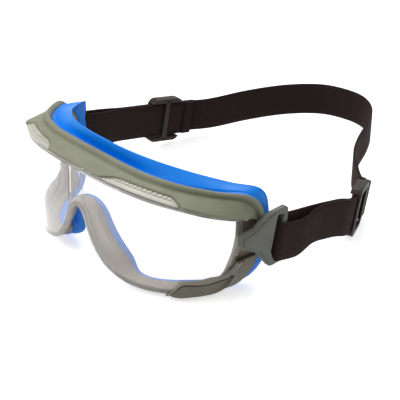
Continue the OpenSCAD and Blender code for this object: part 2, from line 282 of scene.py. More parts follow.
def with_bmesh(piece, work_on):
    """Runs an edit on the piece's mesh."""
    work = bmesh.new()
    work.from_mesh(piece.data)
    work_on(work)
    work.to_mesh(piece.data)
    work.free()


def fix_normals(piece):
    with_bmesh(piece, lambda work: bmesh.ops.recalc_face_normals(work, faces=work.faces))


def weld(piece):
    with_bmesh(piece, lambda work: bmesh.ops.remove_doubles(work, verts=work.verts, dist=0.02 * MM))
    fix_normals(piece)


def sweep(rings, closed=False):
    """Points and faces of a skin over rings of points."""
    n, m = len(rings), len(rings[0])
    points = [p for ring in rings for p in ring]
    faces = []
    for i in range(n if closed else n - 1):
        for j in range(m):
            a, b = i * m + j, i * m + (j + 1) % m
            k = (i + 1) % n * m
            faces.append((a, b, k + (j + 1) % m, k + j))
    if not closed:
        faces.append(tuple(range(m - 1, -1, -1)))
        faces.append(tuple((n - 1) * m + j for j in range(m)))
    return points, faces


def rounded(outline, r, turns=3):
    """A closed outline with its corners rounded by r."""
    result = []
    n = len(outline)
    for i in range(n):
        a, b, c = (np.asarray(outline[(i + k) % n], float) for k in (-1, 0, 1))
        before = b + (a - b) * min(0.45, r / np.linalg.norm(a - b))
        after = b + (c - b) * min(0.45, r / np.linalg.norm(c - b))
        for k in range(turns):
            t = k / (turns - 1)
            result.append((1 - t) ** 2 * before + 2 * t * (1 - t) * b + t * t * after)
    return result


def mirrored(points, faces, side):
    """Drawn for the left side; on the right it is a mirror image."""
    if side == LEFT:
        return points, faces
    return [np.asarray(p) * (-1, 1, 1) for p in points], [f[::-1] for f in faces]


def steps(start, end, n):
    """n + 1 even steps from start to end."""
    return [mix(start, end, i / n) for i in range(n + 1)]


# ---------- materials ----------

def shader_tree(name):
    material = bpy.data.materials.new(name)
    material.use_nodes = True
    tree = material.node_tree
    return material, tree, tree.nodes["Principled BSDF"]


def add_noise(tree, size_mm, detail=2.0, stretch=(1, 1, 1)):
    """Noise whose features are about size_mm across."""
    coords = tree.nodes.new("ShaderNodeTexCoord")
    mapping = tree.nodes.new("ShaderNodeMapping")
    mapping.inputs["Scale"].default_value = stretch
    tree.links.new(coords.outputs["Object"], mapping.inputs["Vector"])
    noise = tree.nodes.new("ShaderNodeTexNoise")
    noise.inputs["Scale"].default_value = 1 / (size_mm * MM)
    noise.inputs["Detail"].default_value = detail
    tree.links.new(mapping.outputs["Vector"], noise.inputs["Vector"])
    return noise.outputs["Fac"]


def add_mix(tree, factor, colour_a, colour_b):
    """Colour from a to b as the factor goes from 0.3 to 0.7."""
    ramp_node = tree.nodes.new("ShaderNodeValToRGB")
    ramp_node.color_ramp.elements[0].position = 0.3
    ramp_node.color_ramp.elements[1].position = 0.7
    ramp_node.color_ramp.elements[0].color = (*colour_a, 1)
    ramp_node.color_ramp.elements[1].color = (*colour_b, 1)
    tree.links.new(factor, ramp_node.inputs["Fac"])
    return ramp_node.outputs["Color"]


def add_range(tree, factor, low, high):
    """The factor's 0 to 1 moved to low to high."""
    node = tree.nodes.new("ShaderNodeMapRange")
    node.inputs["To Min"].default_value = low
    node.inputs["To Max"].default_value = high
    tree.links.new(factor, node.inputs["Value"])
    return node.outputs["Result"]


def add_bump(tree, shader, height, depth_mm):
    bump = tree.nodes.new("ShaderNodeBump")
    bump.inputs["Distance"].default_value = depth_mm * MM
    tree.links.new(height, bump.inputs["Height"])
    tree.links.new(bump.outputs["Normal"], shader.inputs["Normal"])


def moulded(name, colour, shade, roughness, grain_mm=0.5, depth_mm=0.03, gloss=0.3):
    """Moulded plastic or rubber: soft mottling, and a fine grain that breaks up its gloss."""
    material, tree, shader = shader_tree(name)
    mottle = add_noise(tree, 9)
    grain = add_noise(tree, grain_mm, detail=4)
    tree.links.new(add_mix(tree, mottle, colour, shade), shader.inputs["Base Color"])
    tree.links.new(add_range(tree, grain, roughness - 0.08, roughness + 0.08),
                   shader.inputs["Roughness"])
    shader.inputs["Specular IOR Level"].default_value = gloss
    add_bump(tree, shader, grain, depth_mm)
    return material


def clear_plastic(name, tint, haze, clarity):
    """Clear plastic that lets the lamps' light through to what is behind it."""
    material, tree, shader = shader_tree(name)
    shader.inputs["Transmission Weight"].default_value = clarity
    shader.inputs["IOR"].default_value = 1.5
    mottle = add_noise(tree, 30)
    tree.links.new(add_mix(tree, mottle, tint, [c * 0.99 for c in tint]),
                   shader.inputs["Base Color"])
    tree.links.new(add_range(tree, mottle, haze, haze + 0.01), shader.inputs["Roughness"])
    passing = tree.nodes.new("ShaderNodeBsdfTransparent")
    passing.inputs["Color"].default_value = (*[c * 0.97 for c in tint], 1)
    path = tree.nodes.new("ShaderNodeLightPath")
    both = tree.nodes.new("ShaderNodeMixShader")
    tree.links.new(path.outputs["Is Shadow Ray"], both.inputs["Fac"])
    tree.links.new(shader.outputs["BSDF"], both.inputs[1])
    tree.links.new(passing.outputs["BSDF"], both.inputs[2])
    tree.links.new(both.outputs["Shader"], tree.nodes["Material Output"].inputs["Surface"])
    return material


def woven(name, colour, shade, pitch_mm, row_mm):
    """Elastic webbing: rubber cords along its length, crossed by fine rows of yarn."""
    material, tree, shader = shader_tree(name)
    uv = tree.nodes.new("ShaderNodeUVMap")
    uv.uv_map = "cloth_mm"
    waves = []
    for direction, pitch in (("X", row_mm), ("Y", pitch_mm)):
        wave = tree.nodes.new("ShaderNodeTexWave")
        wave.bands_direction = direction
        wave.inputs["Scale"].default_value = math.pi / (10 * pitch)     # one wave per pitch
        wave.inputs["Distortion"].default_value = 0.6
        wave.inputs["Detail Scale"].default_value = 2
        tree.links.new(uv.outputs["UV"], wave.inputs["Vector"])
        waves.append(wave.outputs["Fac"])
    cloth = tree.nodes.new("ShaderNodeMath")
    cloth.operation = "MULTIPLY"
    tree.links.new(waves[0], cloth.inputs[0])
    tree.links.new(waves[1], cloth.inputs[1])
    fuzz = add_noise(tree, 0.5, detail=4)
    thread = tree.nodes.new("ShaderNodeMath")
    thread.operation = "ADD"
    tree.links.new(cloth.outputs[0], thread.inputs[0])
    tree.links.new(add_range(tree, fuzz, -0.3, 0.5), thread.inputs[1])
    tree.links.new(add_mix(tree, thread.outputs[0], shade, colour), shader.inputs["Base Color"])
    shader.inputs["Roughness"].default_value = 0.85
    shader.inputs["Specular IOR Level"].default_value = 0.12
    shader.inputs["Sheen Weight"].default_value = 0.08
    shader.inputs["Sheen Roughness"].default_value = 0.4
    shader.inputs["Sheen Tint"].default_value = (0.75, 0.52, 0.46, 1)
    add_bump(tree, shader, thread.outputs[0], 0.12)
    return material


LENS_CLEAR = clear_plastic("lens_clear", (1.0, 0.985, 0.98), 0.0, 0.9)
# Grey tint for the lens's edge and the folds of the facet over the nose: painted shade for the dark
# lines that the thick clear edge shows
LENS_EDGE_PAINTED_SHADE = clear_plastic("lens_edge_painted_shade", (0.70, 0.685, 0.64), 0.12, 0.85)
FRAME_WARM = moulded("frame_warm", (0.315, 0.262, 0.205), (0.275, 0.23, 0.178), 0.45)
# A darker copy of the frame's warm grey: painted shade for the seat and the wall's outside, low down,
# where the frame lies in shadow
FRAME_PAINTED_SHADE = moulded("frame_painted_shade", (0.12, 0.115, 0.088), (0.10, 0.096, 0.075), 0.4)
SEAL_BLUE = moulded("seal_blue", (0.0, 0.26, 0.93), (0.0, 0.24, 0.93), 0.42, depth_mm=0.015,
                    gloss=0.25)
BROW_GREEN = moulded("brow_green", (0.29, 0.30, 0.21), (0.255, 0.265, 0.19), 0.55)
TRIM_GREY = moulded("trim_grey", (0.21, 0.197, 0.150), (0.185, 0.174, 0.132), 0.5)
TRIM_BAND = moulded("trim_band", (0.33, 0.308, 0.255), (0.29, 0.27, 0.225), 0.45)
CLIP_GREY = moulded("clip_grey", (0.165, 0.172, 0.142), (0.145, 0.152, 0.126), 0.5, 0.35, 0.04)
PIN_BLACK = moulded("pin_black", (0.05, 0.05, 0.05), (0.04, 0.04, 0.04), 0.4)
GRILLE_PALE = moulded("grille_pale", (0.62, 0.61, 0.53), (0.56, 0.55, 0.48), 0.3, gloss=0.5)
SLIDER_BROWN = moulded("slider_brown", (0.036, 0.0235, 0.0205), (0.028, 0.018, 0.016), 0.42,
                       gloss=0.22)
WEBBING_BROWN = woven("webbing_brown", (0.040, 0.0245, 0.0215), (0.026, 0.016, 0.014), 0.9, 0.55)
THREAD_BLACK = moulded("thread_black", (0.012, 0.008, 0.007), (0.02, 0.014, 0.012), 0.8, 0.2,
                       gloss=0.1)


# ---------- lens, frame and seal ----------

FINE = 8                                # sections between two stations
AROUND = [i / FINE for i in range(-HALF_TURN * FINE, HALF_TURN * FINE)]
SECTIONS = {}


def section(v):
    """The section at station v, worked out once."""
    if v not in SECTIONS:
        SECTIONS[v] = Section(v)
    return SECTIONS[v]


# Across the lens's edge: how far in from the contour, and how high over its outer face.
# A step runs parallel to the contour all round
LENS_EDGE_PROFILE = [(2.6, 0), (2.3, 0), (1.95, -0.4), (0.4, -0.4), (0, -0.75),
                     (0, 0.3 - LENS_T), (0.35, -LENS_T), (2.6, -LENS_T)]

# The lens's two faces are grids: columns from the brow down, rows from side to side
COLUMNS = 2 * LAST * FINE
ROWS = FINE
FACET_COLUMNS = 8                       # half the width of the facet over the nose, in columns
FACET_DEPTH = 0.5
FOLD_COLUMNS = (COLUMNS // 2 - FACET_COLUMNS - 1, COLUMNS // 2 + FACET_COLUMNS)

WALL_T = 4.0                            # thickness of the frame's wall at its rim
FLANGE = 3                              # how far the lens's seat reaches in from its edge
PAINTED_SHADE_FROM = 11.5                        # station past which the frame's seat and outer wall take the painted shade
GUTTER = 4.5                            # width of the seal's gutter


def ring_index(v):
    """Which section of AROUND is at station v."""
    return round((v + HALF_TURN) * FINE) % len(AROUND)


def on_border(c, r):
    """The section that a grid point shares with the lens's edge, if it lies on it."""
    if r == 0:
        return ring_index(c / FINE - LAST)
    if r == ROWS:
        return ring_index(HALF_TURN + LAST - c / FINE)
    if c == 0:
        return ring_index(-LAST - r / FINE)
    if c == COLUMNS:
        return ring_index(LAST + r / FINE)
    return None


def inside(border, c, r):
    """A grid point worked out from the four edges and four corners round it."""
    def edge(i, j):
        return border[on_border(i, j)]

    u, w = c / COLUMNS, r / ROWS
    return ((1 - w) * edge(c, 0) + w * edge(c, ROWS)
            + (1 - u) * edge(0, r) + u * edge(COLUMNS, r)
            - (1 - u) * (1 - w) * edge(0, 0) - u * (1 - w) * edge(COLUMNS, 0)
            - (1 - u) * w * edge(0, ROWS) - u * w * edge(COLUMNS, ROWS))


def sunk(c, r):
    """How deep the facet over the nose lies at a grid point; it fades out at the edges."""
    if abs(c - COLUMNS / 2) > FACET_COLUMNS:
        return 0
    w = r / ROWS
    return FACET_DEPTH * ramp(0, 0.08, w) * (1 - ramp(0.92, 1, w))


def make_lens():
    """A stepped edge swept round the contour, closed by a grid in front and one behind."""
    n = len(AROUND)
    spans = len(LENS_EDGE_PROFILE) - 1
    points = [section(v).on_face(-q, h) for q, h in LENS_EDGE_PROFILE for v in AROUND]
    faces = [(k * n + i, k * n + (i + 1) % n, (k + 1) * n + (i + 1) % n, (k + 1) * n + i)
             for k in range(spans) for i in range(n)]
    edge_faces = list(range(len(faces)))
    for k in (0, spans):
        h = LENS_EDGE_PROFILE[k][1]
        border = points[k * n:(k + 1) * n]
        index = {}
        for c in range(COLUMNS + 1):
            for r in range(ROWS + 1):
                shared = on_border(c, r)
                if shared is not None:
                    index[c, r] = k * n + shared
                    continue
                x, y, z = inside(border, c, r)
                index[c, r] = len(points)
                points.append(on_lens(x, z, h - sunk(c, r)))
        for c in range(COLUMNS):
            for r in range(ROWS):
                face = (index[c, r], index[c, r + 1], index[c + 1, r + 1], index[c + 1, r])
                # The folds round the facet wear the edge's grey tint too: painted shade along them
                if c in FOLD_COLUMNS:
                    edge_faces.append(len(faces))
                faces.append(face[::-1] if k else face)
    piece = new_piece("lens_shell", points, faces, "goggles", "lens", LENS_CLEAR, LENS_EDGE_PAINTED_SHADE)
    # These faces wear the grey tint that paints shade along the edge and the folds
    for i in edge_faces:
        piece.data.polygons[i].material_index = 1
    fix_normals(piece)
    soften(piece, 25)
    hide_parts("lens")


def frame_ring(v):
    """The wall behind the lens, with a seat for it in front and, low down, a lip over the seal."""
    s = section(v)
    seat = LENS_T + GAP
    lip = 1.6 * ramp(10.5, 12, abs(v))
    return rounded([s.edge - s.face * seat + s.outwards * 0.2,
                    s.rim - s.out * 0.1,
                    s.rim - s.out * 3.3,
                    s.rim + s.back * (lip - 0.2) - s.out * 3.5,
                    s.rim + s.back * (lip - 0.2) - s.out * WALL_T,
                    s.rim - s.out * WALL_T - s.back * 2,
                    s.on_face(-2, 0) - s.face * (seat + FRAME_T),
                    s.on_face(-FLANGE, -seat - FRAME_T),
                    s.on_face(-FLANGE, -seat)], 0.6)


def make_frame():
    """Warm grey, with painted shade, a darker copy of the grey, on the seat and on the wall's
    outside, low down.
    """
    rings = [frame_ring(v) for v in AROUND]
    points, faces = sweep(rings, closed=True)
    piece = new_piece("frame_shell", points, faces, "goggles", "frame", FRAME_WARM, FRAME_PAINTED_SHADE)
    m = len(rings[0])
    for face in piece.data.polygons:
        across, station = face.index % m, abs(AROUND[face.index // m])
        # Painted shade: these faces, on the seat and the wall's outside low down, take the darker
        # copy of the frame's grey
        if (1 <= across <= 3 or across == m - 1) and station > PAINTED_SHADE_FROM:
            face.material_index = 1
    fix_normals(piece)
    soften(piece)
    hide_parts("goggle_frame")


def seal_ring(v):
    """From the frame's rim: a deep gutter, then the flap that stands up behind it."""
    s = section(v)
    rim, tip, out = s.rim, s.tip, s.out
    at_temple = ramp(6.5, 8, abs(v)) * (1 - ramp(11, 12.5, abs(v)))
    run = unit(mix(s.back, unit(tip - rim), at_temple))
    gutter = min(GUTTER, np.linalg.norm(tip - rim) / 2)
    depth = mix(1.7, 0.5, at_temple)
    return rounded([rim + run * 0.25 + out * 0.2,
                    rim + run * 0.9 + out * 0.1,
                    rim + run * gutter * 0.4 - out * depth,
                    rim + run * gutter * 0.75 - out * depth,
                    rim + run * gutter - out * depth / 3,
                    mix(rim + run * gutter, tip, 0.5) - run * 0.3,
                    tip,
                    tip + vec(0, 1.2, 0),
                    rim + run * (gutter + 2.2) - out * 1.0,
                    rim + run * (gutter + 2.0) - out * 3.2,
                    rim + run * (gutter + 0.2) - out * 3.3,
                    rim + run * 0.25 - out * 3.1], 0.5)


def make_seal():
    """One soft skin swept all round the frame's rim."""
    points, faces = sweep([seal_ring(v) for v in AROUND], closed=True)
    piece = new_piece("seal_shell", points, faces, "goggles", "seal", SEAL_BLUE)
    fix_normals(piece)
    soften(piece, 50)
    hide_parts("face_seal")


# ---------- covers ----------

VENT_IN = 4.6                           # stations where a vent window starts and ends
VENT_OUT = 6
VENT_D = 5.4                            # how far back the window is cut into the cover
BROW_END = LAST + 1 / 6
BROW_RINGS = 320

# Across the cover's rear part: how far before the wall's end, and how high over its flat.
# A hollow groove, then the bead along the rear edge
BEAD_PROFILE = [(8, 0), (6.6, -0.35), (5.5, -0.8), (4.6, -1.3), (4.1, -1.25), (3.6, -0.1),
                (3.2, 0.85), (2.6, 1.2), (1.9, 1.3), (1.2, 1.2), (0.6, 0.8), (0.2, 0.1), (0, -0.8)]

# The trims are counted from the nose: where they start and end
TRIM_START = 6.35
TRIM_END = 9

# Places across the trim's body: round the lens's edge at 0, then the two sides of a groove
TRIM_ACROSS = [-2.5, -0.8, -0.3, 0.2, 0.8, 1.4, 2.2, 4.1, 4.9]

# Along one rib of the grille: share of its pitch, and its height there
RIB_PITCH = 2.4
RIB_PROFILE = [(0, 0.95), (0.08, 1.1), (0.6, 1.1), (0.68, 0.95), (0.72, 0.75), (0.96, 0.75)]


def brow_front(v, length):
    """Where the cover's front edge runs at station v, over the lens (< 0) or the wall (> 0)."""
    a = abs(v)
    if a < 5:
        return mix(0.4, VENT_D, ramp(VENT_IN - 1.1, VENT_IN, a))
    if a < 8:
        return mix(VENT_D, -0.3, ramp(VENT_OUT, VENT_OUT + 0.8, a))
    return mix(-0.3, length - 5, ramp(8.6, 9.05, a))


def brow_ring(v):
    """Front edge, a flat, a hollow groove, the raised rear bead and the underside."""
    s = section(v)
    length = s.length
    q = brow_front(v, length)
    fade = 1 - 0.5 * ramp(BROW_END - 0.12, BROW_END, abs(v))
    top = GAP + COVER_T * fade
    outer = [(q, GAP), (q, top - 0.7), (q + 0.25, top - 0.2), (q + 0.9, top)]
    for depth, h in BEAD_PROFILE:
        least = outer[-1][0] + 0.12
        outer.append((max(length - depth, least), top + h * fade))
    outer.append((outer[-1][0], GAP))
    points = [s.skin(*p) for p in outer]
    points.append(s.skin(max(q + 0.6, 0), GAP))
    return points


def make_brow():
    """One cover from temple to temple."""
    rings = [brow_ring(v) for v in steps(-BROW_END, BROW_END, BROW_RINGS)]
    points, faces = sweep(rings)
    piece = new_piece("brow_shell", points, faces, "goggles", "brow", BROW_GREEN)
    fix_normals(piece)
    soften(piece, 40)
    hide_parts("brow_cover")


def trim_ring(b):
    """A band along the lens, a cut, and the body with a groove; b is counted from the nose."""
    s = section(HALF_TURN - b)
    top = GAP + 0.3 + (TRIM_T - 0.3) * ramp(TRIM_START, TRIM_START + 0.6, b)
    lip = -9 * ramp(TRIM_START, 7.1, b) * (1 - ramp(8, TRIM_END, b)) - 0.3
    tail = mix(6, s.length - 1, ramp(TRIM_START, 8.4, b))
    panel = ramp(6.9, 7.1, b) * (1 - ramp(8.0, 8.25, b))
    line = lip + mix(1.5, 4.2, ramp(TRIM_START, 8.2, b))
    cut = mix(top, GAP, 0.65)
    outer = [s.skin(lip, top - 0.25), s.skin(lip + 0.5, top), s.skin(line - 0.5, top),
             s.skin(line - 0.3, cut), s.skin(line + 0.3, cut), s.skin(line + 0.6, top)]
    for i, place in enumerate(TRIM_ACROSS):
        q = max(place, line + 0.7 + 0.05 * i)
        groove = ramp(1.5, 2.1, q) * (1 - ramp(4.2, 4.8, q)) * panel
        outer.append(s.skin(q, top - 0.55 * groove))
    outer += [s.skin(tail - 0.5, top), s.skin(tail, top - 0.45)]
    under = [s.skin(q, GAP) for q in (tail, tail / 2, 0, lip / 2, lip)]
    return outer + under


def make_trim(side):
    """Dark, with a lighter band: the first two strips of faces across it."""
    rings = [trim_ring(b) for b in steps(TRIM_START, TRIM_END, 60)]
    points, faces = mirrored(*sweep(rings), side)
    name = SIDE_NAME[side]
    piece = new_piece("trim_shell_" + name, points, faces, "goggles", "trim", TRIM_GREY, TRIM_BAND)
    m = len(rings[0])
    for face in piece.data.polygons[:m * (len(rings) - 1)]:
        if face.index % m <= 1:
            face.material_index = 1
    fix_normals(piece)
    soften(piece)
    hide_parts("lower_trim_" + name)


def grille_ring(v, h):
    """A pale ledge along the lens, and ribs of height h between it and the cover's edge."""
    s = section(v)
    far = max(1.6, brow_front(v, s.length) - GAP)
    shelf = min(2.9, far - 0.5)
    return [s.skin(0.2, GAP), s.skin(0.2, GAP + 0.5), s.skin(shelf - 0.5, GAP + 0.8),
            s.skin(shelf, GAP + 0.5), s.skin(shelf + 0.2, GAP + h), s.skin(far - 0.1, GAP + h),
            s.skin(far, GAP + h - 0.2), s.skin(far, GAP)]


def make_grille(side):
    """Fills the window: a backing strip with a comb of ribs across it."""
    start, end = VENT_IN - 0.75, VENT_OUT + 0.5
    count = int(np.linalg.norm(section(end).edge - section(start).edge) / RIB_PITCH)
    rings = []
    for i in range(count):
        for part, h in RIB_PROFILE:
            rings.append(grille_ring(mix(start, end, (i + part) / count), h))
    points, faces = mirrored(*sweep(rings), side)
    name = SIDE_NAME[side]
    piece = new_piece("grille_comb_" + name, points, faces, "goggles", "grille", GRILLE_PALE)
    fix_normals(piece)
    soften(piece)
    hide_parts("vent_grille_" + name)


# ---------- clips ----------

TEMPLE_X = RIM_TEMPLE_TOP[0]
CLIP_X = TEMPLE_X + 3.6                 # inner face of the clip's plate
CLIP_T = 3
BAR_W = 5
SLOT_W = 5
STRAP_W = 23
STRAP_T = 1.5
PIN_R = 3
BAR_AT = vec(CLIP_X + CLIP_T / 2, 12.5, 29.5)           # middle of the clip's bar

# Slope of the strap behind each clip, where down is negative, and its turn inwards
STRAP_TILT = {LEFT: math.radians(-12.4), RIGHT: math.radians(-11.2)}
STRAP_TOE = {LEFT: math.radians(-1.8), RIGHT: math.radians(2.5)}

# The plate and the raised ridge on it, seen from the side
CLIP_OUTLINE = [(-19.5, 34), (-20.3, 35.5), (-20.3, 40), (-19, 41.5), (-9.3, 41.8), (-3.6, 44.8),
                (3.7, 47.2), (14, 47.2), (16, 45.5), (14, 14.5), (12.5, 13.2), (3.5, 13.2),
                (1.5, 14.2), (-5.3, 22.8), (-7.3, 26.2)]
CLIP_RIDGE = [(-18.2, 35), (-18.2, 39.6), (-9.6, 40), (-3.4, 43.2), (3, 45.4), (6.6, 45.4),
              (5.6, 42), (1.6, 33.5), (0.6, 30), (4.2, 18), (3.8, 15.4), (2.4, 15.6), (-4.2, 24.2),
              (-6.2, 27.4)]


def plate(outlines, x, thickness, bevel):
    """Flat plate from x to x + thickness. Outlines are of (y, z), the first outside, others holes."""
    curve = bpy.data.curves.new("plate", "CURVE")
    curve.dimensions = "2D"
    curve.fill_mode = "BOTH"
    curve.extrude = thickness / 2 - bevel
    curve.bevel_depth = bevel
    curve.bevel_resolution = 2
    curve.offset = -bevel
    for outline in outlines:
        spline_curve = curve.splines.new("POLY")
        spline_curve.points.add(len(outline) - 1)
        for point, (y, z) in zip(spline_curve.points, outline):
            point.co = (y, z, 0, 1)
        spline_curve.use_cyclic_u = True
    holder = bpy.data.objects.new("plate", curve)
    mesh = bpy.data.meshes.new_from_object(holder)
    points = [vec(x + thickness / 2 + v.co.z, v.co.x, v.co.y) for v in mesh.vertices]
    faces = [tuple(f.vertices) for f in mesh.polygons]
    bpy.data.objects.remove(holder)
    return points, faces


def block(centre, size, bevel):
    """Box with rounded edges."""
    work = bmesh.new()
    bmesh.ops.create_cube(work, size=1)
    bmesh.ops.scale(work, vec=size, verts=work.verts)
    bmesh.ops.bevel(work, geom=work.edges[:], offset=bevel, segments=3, profile=0.5,
                    affect="EDGES")
    work.verts.index_update()
    points = [vec(*v.co) + centre for v in work.verts]
    faces = [tuple(v.index for v in f.verts) for f in work.faces]
    work.free()
    return points, faces


def round_rect(w, h, r, turns=7):
    """Outline of a rectangle with round corners."""
    outline = []
    for quarter, (y, z) in enumerate(((1, 1), (-1, 1), (-1, -1), (1, -1))):
        for angle in steps(quarter * math.pi / 2, (quarter + 1) * math.pi / 2, turns):
            outline.append((y * (w / 2 - r) + r * math.cos(angle),
                            z * (h / 2 - r) + r * math.sin(angle)))
    return outline


def tube(y, z, x_from, x_to, radius, bevel, sides=48):
    """Round boss along X with a bevelled outer end."""
    rings = []
    for x, r in ((x_from, radius), (x_to - bevel, radius), (x_to, radius - bevel)):
        rings.append([vec(x, y + r * math.cos(2 * math.pi * i / sides),
                          z + r * math.sin(2 * math.pi * i / sides)) for i in range(sides)])
    return sweep(rings)


def combined(*parts):
    """Several (points, faces) as one."""
    points, faces = [], []
    for some_points, some_faces in parts:
        faces += [tuple(i + len(points) for i in f) for f in some_faces]
        points += list(some_points)
    return points, faces


def round_corners(outline, r):
    """The same for a flat outline of (y, z)."""
    return [(p[0], p[1]) for p in rounded(outline, r, 4)]


def make_clip(side):
    """Plate with the strap's slot, a ridge on its face and the boss round the pin."""
    tilt = STRAP_TILT[side]
    slot_h = STRAP_W + 3
    slot = []
    for y, z in ((-BAR_W / 2 - SLOT_W, -slot_h / 2), (-BAR_W / 2, -slot_h / 2),
                 (-BAR_W / 2, slot_h / 2), (-BAR_W / 2 - SLOT_W, slot_h / 2)):
        slot.append((BAR_AT[1] + y * math.cos(tilt) - z * math.sin(tilt),
                     BAR_AT[2] + y * math.sin(tilt) + z * math.cos(tilt)))
    body = plate([round_corners(CLIP_OUTLINE, 0.8), round_corners(slot, 0.6)],
                 CLIP_X, CLIP_T, 0.45)
    ridge = plate([round_corners(CLIP_RIDGE, 0.8)], CLIP_X + CLIP_T - 0.7, 1.4, 0.5)
    boss = tube(PIVOT[1], PIVOT[2], CLIP_X + 0.3, TEMPLE_X + 1.4, PIN_R + 1.7, 0.2)
    points, faces = mirrored(*combined(body, ridge, boss), side)
    name = SIDE_NAME[side]
    carrier = "strap" if side == LEFT else "clip_right"
    piece = new_piece("clip_plate_" + name, points, faces, carrier, "clip", CLIP_GREY)
    weld(piece)
    soften(piece, 30)
    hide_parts("strap_clip_" + name)


# ---------- strap ----------

SLIDER_L = 26
SLIDER_POS = {LEFT: 77, RIGHT: 68}      # from the clip's bar to the slider's middle
TAIL_LEN = 10
TAIL_SIDE = {LEFT: 1, RIGHT: -1}        # free ends lie outside on the left, inside on the right
LAYER = STRAP_T / 2 + 0.15              # from the middle of the doubled strap to either layer
FOLD_R = CLIP_T / 2 + 0.5 + STRAP_T / 2
FOLD_Y = -BAR_W / 2 + 1
BEND_FROM = 50                          # where the doubled strap starts to turn round the head
BEND_R = 28
BEND_ANGLE = {LEFT: math.radians(29), RIGHT: math.radians(2)}
BOW = 2.2                               # rise of the left strap between clip and slider
HANG = 3.6                              # drop of its outer layer at the clip
HEM_L = 7
STITCHES = 10
STITCH_PITCH = 2.15

# The band's way round the head, seen from above, from the left side to the right
BAND_ROUTE = [(59, 113), (46, 125), (35, 143), (25.5, 163), (14, 181), (-1, 191.5),
              (-18, 192.5), (-36, 186), (-52, 168), (-64.5, 142), (-74, 117)]
LEVELLING = 2.5                         # route points over which the band turns level
REST_Z = STRAP_W / 2 + 2                # its middle's height behind the head


def tail_end(side):
    """Where the free end stops, from the clip's bar."""
    return SLIDER_POS[side] + SLIDER_L / 2 + TAIL_LEN


def seam(side):
    """Where the doubled strap hands over to the single band."""
    return tail_end(side) + 1


def line_at(side, s):
    """Middle line of the doubled strap at s from the clip's bar: x, y and heading."""
    a = min(BEND_ANGLE[side], max(0, (s - BEND_FROM) / BEND_R))
    rest = max(0, s - BEND_FROM - BEND_ANGLE[side] * BEND_R)
    x = -BEND_R * (1 - math.cos(a)) - rest * math.sin(a)
    y = min(s, BEND_FROM) + BEND_R * math.sin(a) + rest * math.cos(a)
    return x, y, a


def from_strap(side, p):
    """A point in the strap's own plane, whose origin is the middle of the clip's bar."""
    tilt, toe = STRAP_TILT[side], STRAP_TOE[side]
    y = p[1] * math.cos(tilt) - p[2] * math.sin(tilt)
    z = p[1] * math.sin(tilt) + p[2] * math.cos(tilt)
    q = BAR_AT + vec(p[0] * math.cos(toe) - y * math.sin(toe),
                     p[0] * math.sin(toe) + y * math.cos(toe), z)
    return q * (side, 1, 1)


def strap_up(side):
    """The direction across the webbing."""
    return unit(from_strap(side, vec(0, 0, 1)) - from_strap(side, vec(0, 0, 0)))


def droop(side, part, s):
    """On the left the strap bows upwards, and its outer layer hangs lower at the clip."""
    if side == RIGHT:
        return 0
    bow = BOW * ramp(8, 34, s) * (1 - ramp(44, 62, s))
    return bow if part < 0 else bow - HANG * (1 - ramp(11, 27, s))


def layer_at(side, part, s, extra=0):
    """Middle of the inner (part -1) or outer (1) layer at s, extra further off the middle line."""
    x, y, a = line_at(side, s)
    d = part * (mix(FOLD_R, LAYER, ramp(12, 34, s)) + extra)
    return from_strap(side, vec(x + d * math.cos(a), y + d * math.sin(a), droop(side, part, s)))


def fold_at(side, degrees):
    """Round the clip's bar, from the inner layer at -90 to the outer one at 90."""
    a = math.radians(degrees)
    low = droop(side, 1, 0) * ramp(-90, 90, degrees)
    return from_strap(side, vec(FOLD_R * math.sin(a), FOLD_Y - FOLD_R * math.cos(a), low))


def ribbon(centres, ups, width, thickness):
    """A flat ribbon with soft edges along a line, and how far along and across each point is."""
    rings, cloth = [], []
    hw, ht = width / 2, thickness / 2
    outline = [(-hw, -ht * 0.35), (-hw, ht * 0.35), (-hw + 0.5, ht), (-hw / 2, ht), (0, ht),
               (hw / 2, ht), (hw - 0.5, ht), (hw, ht * 0.35), (hw, -ht * 0.35),
               (hw - 0.5, -ht), (hw / 2, -ht), (0, -ht), (-hw / 2, -ht), (-hw + 0.5, -ht)]
    run = 0
    for i, (c, up) in enumerate(zip(centres, ups)):
        before, after = centres[max(0, i - 1)], centres[min(len(centres) - 1, i + 1)]
        normal = unit(np.cross(up, after - before))
        run += np.linalg.norm(c - centres[max(0, i - 1)])
        rings.append([c + up * w + normal * t for w, t in outline])
        cloth += [(run, w) for w, t in outline]
    points, faces = sweep(rings)
    return points, faces, cloth


def band_line():
    """The single band round the back of the head, level behind it and tilted at its ends."""
    a = layer_at(LEFT, -1, seam(LEFT))
    b = layer_at(RIGHT, 1, seam(RIGHT))
    route = [(a[0], a[1])] + BAND_ROUTE + [(b[0], b[1])]
    route = [vec(*p) for p in route]
    n = len(route) - 1
    route = [2 * route[0] - route[1]] + route + [2 * route[n] - route[n - 1]]

    def place(v):
        i = min(int(v), n - 1)
        return spline(route[i], route[i + 1], route[i + 2], route[i + 3], v - i)

    centres, ups = [], []
    for v in steps(0, n, n * 12)[1:-1]:
        p = place(v)
        t = unit(place(min(n, v + 0.02)) - place(max(0, v - 0.02)))
        near = 1 - ramp(0, LEVELLING, v)
        far = ramp(n - LEVELLING, n, v)
        lean = math.sin(STRAP_TILT[LEFT]) * near - math.sin(STRAP_TILT[RIGHT]) * far
        centres.append(vec(p[0], p[1], REST_Z + (a[2] - REST_Z) * near + (b[2] - REST_Z) * far))
        ups.append(unit(vec(-t[0] * lean, -t[1] * lean, 1)))
    return centres, ups


